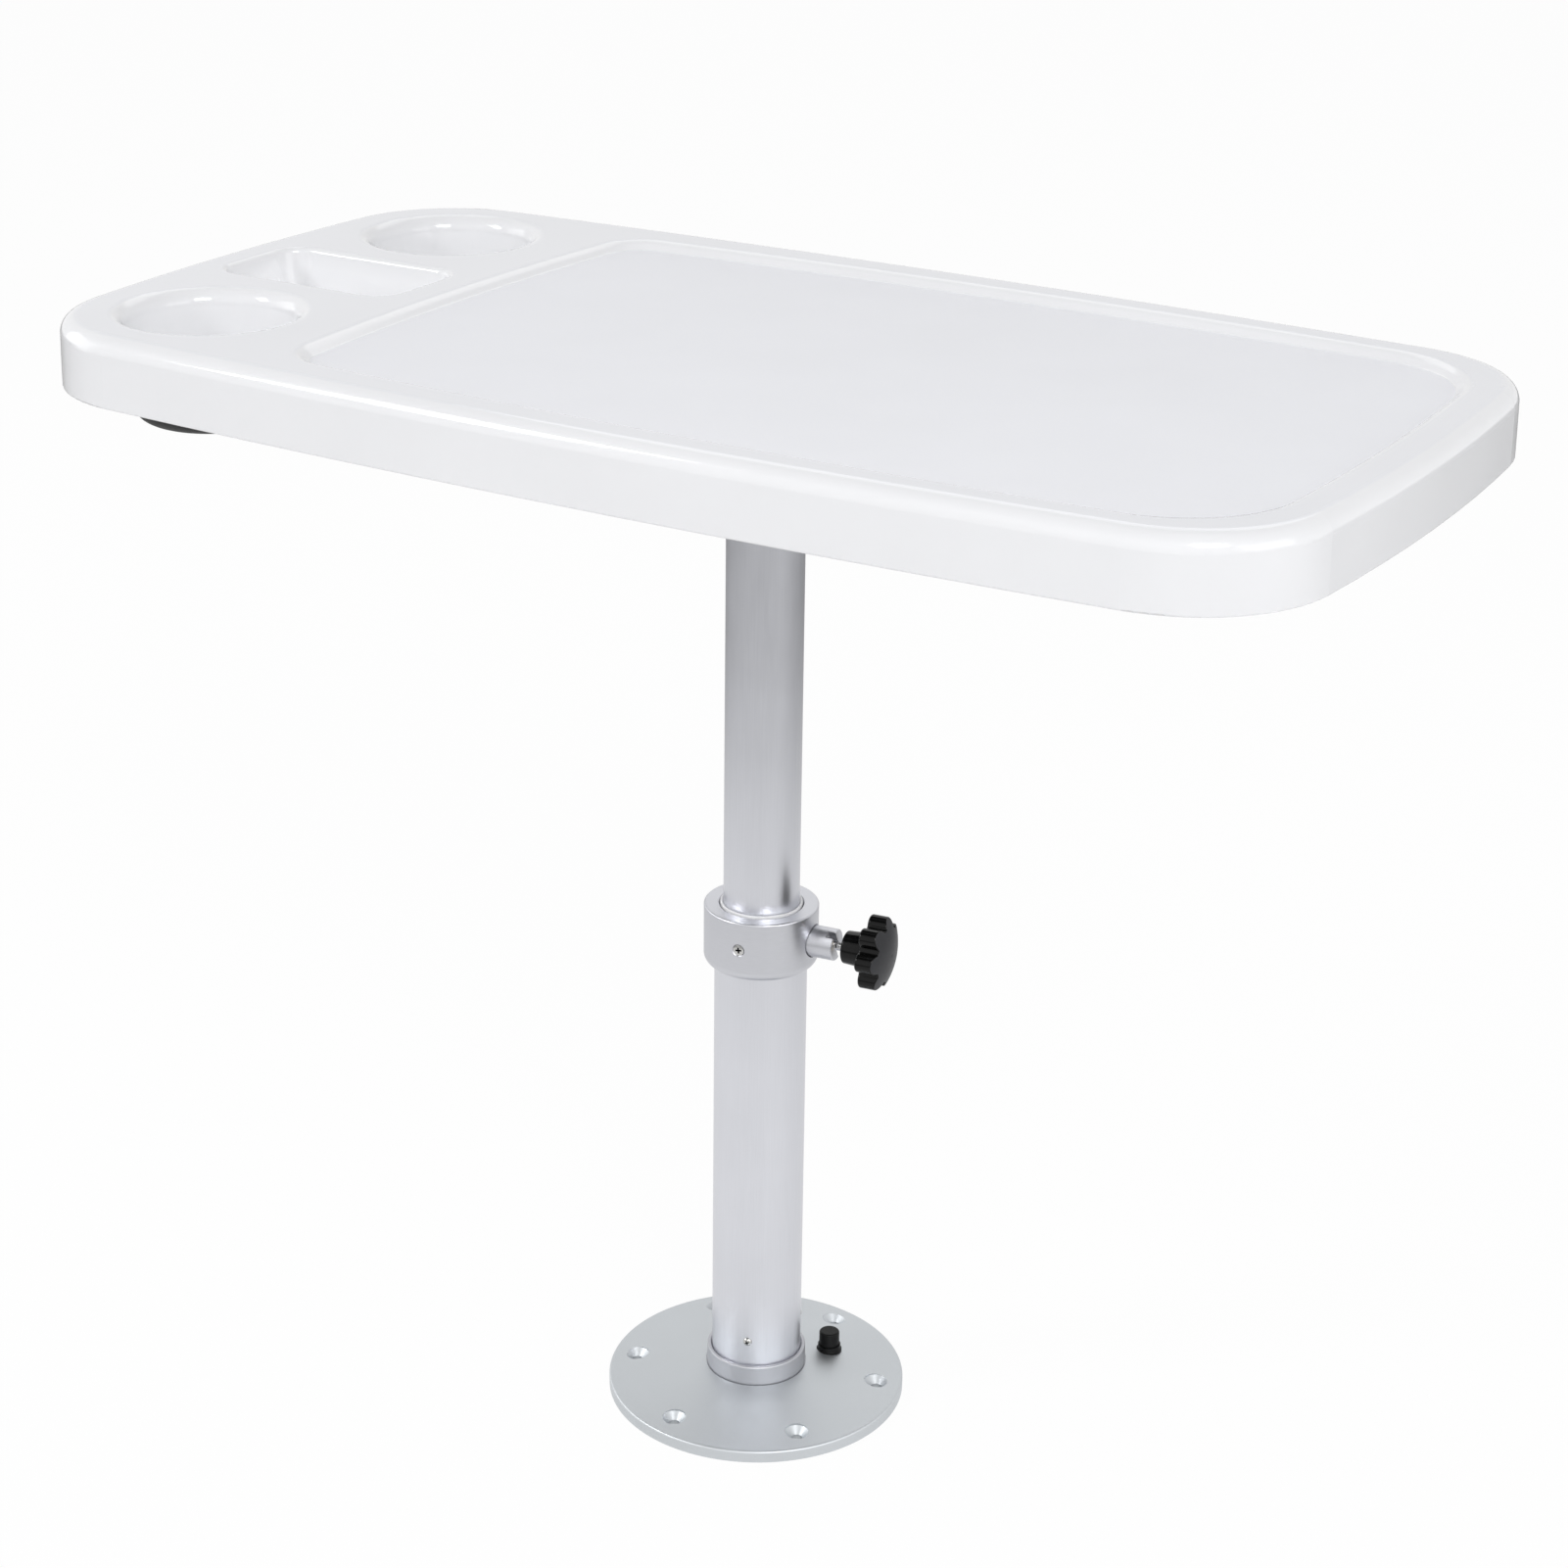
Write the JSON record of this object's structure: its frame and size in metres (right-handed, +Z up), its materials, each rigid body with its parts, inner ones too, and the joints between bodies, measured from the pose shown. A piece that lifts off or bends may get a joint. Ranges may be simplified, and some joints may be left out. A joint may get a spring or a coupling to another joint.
{
  "type": "single pole camper table",
  "caption": "Moulded oblong tabletop with cup wells, a tray and a sunk panel, on a telescopic round pole with a clamp collar, star knob and bolted base plate.",
  "frame": {"origin": "on the floor under the base plate, on the pole's axis", "axes": "+Z up the pole, +X along the tabletop away from its cup wells"},
  "size_m": [0.845, 0.4498, 0.726],
  "materials": {
    "top_plastic": "gloss white moulding",
    "underside_plastic": "matt black moulding",
    "board_wood": "raw plywood",
    "aluminium": "satin anodised",
    "screw_steel": "nickel plated",
    "latch_steel": "zinc plated",
    "spring_steel": "drawn wire",
    "bush_plastic": "natural nylon",
    "knob_plastic": "gloss black moulding",
    "insert_brass": "turned",
    "button_plastic": "matt black moulding"
  },
  "bodies": {
    "base": {"base_plate": "aluminium", "lower_tube": "aluminium", "foot_plug": "bush_plastic", "foot_screws": "screw_steel", "clamp_collar": "aluminium", "collar_screws": "screw_steel", "guide_bush": "bush_plastic", "knob_sleeve": "aluminium", "button_bezel": "button_plastic", "latch_cover": "latch_steel", "latch_cover_screws": "screw_steel"},
    "slider": {"slide_bush": "bush_plastic"},
    "table": {"tabletop_shell": "top_plastic", "core_board": "board_wood", "underside_pan": "underside_plastic", "cup_boots": "underside_plastic", "tray_boot": "underside_plastic", "pan_screws": "screw_steel", "top_flange": "aluminium", "flange_screws": "screw_steel", "flange_grub_screws": "screw_steel", "upper_tube": "aluminium", "tube_end_plug": "bush_plastic", "retaining_ring": "latch_steel"},
    "pad": {"pressure_pad": "bush_plastic"},
    "knob": {"clamp_screw": "screw_steel", "knob_insert": "insert_brass", "star_knob": "knob_plastic"},
    "button": {"release_button": "button_plastic", "button_stem": "latch_steel", "button_spring": "spring_steel"},
    "latch": {"latch_bar": "latch_steel"}
  },
  "joints": [
    {"name": "height_slide", "type": "slide", "parent": "base", "child": "slider", "axis": [0, 0, 1], "range_m": [-0.19, 0]},
    {"name": "table_swivel", "type": "hinge", "parent": "slider", "child": "table", "pos_m": [0, 0, 0.275], "axis": [0, 0, 1], "continuous": true},
    {"name": "pad_slide", "type": "slide", "parent": "base", "child": "pad", "axis": [0.9903, 0.1392, 0], "range_m": [0, 0.003]},
    {"name": "knob_turn", "type": "hinge", "parent": "pad", "child": "knob", "pos_m": [0.05942, 0.00835, 0.338], "axis": [0.9903, 0.1392, 0], "range_deg": [0, 1080]},
    {"name": "button_press", "type": "slide", "parent": "base", "child": "button", "axis": [0, 0, -1], "range_m": [0, 0.0035], "stiffness_N_per_m": 600, "springref_m": -0.002, "deforming": ["button_spring"]},
    {"name": "latch_slide", "type": "slide", "parent": "base", "child": "latch", "axis": [0.6388, 0.7694, 0], "range_m": [0, 0.0035]}
  ],
  "couplings": [
    {"joint": "pad_slide", "follows": "knob_turn", "m_per_rad": 0.00015915},
    {"joint": "latch_slide", "follows": "button_press", "ratio": 1}
  ]
}
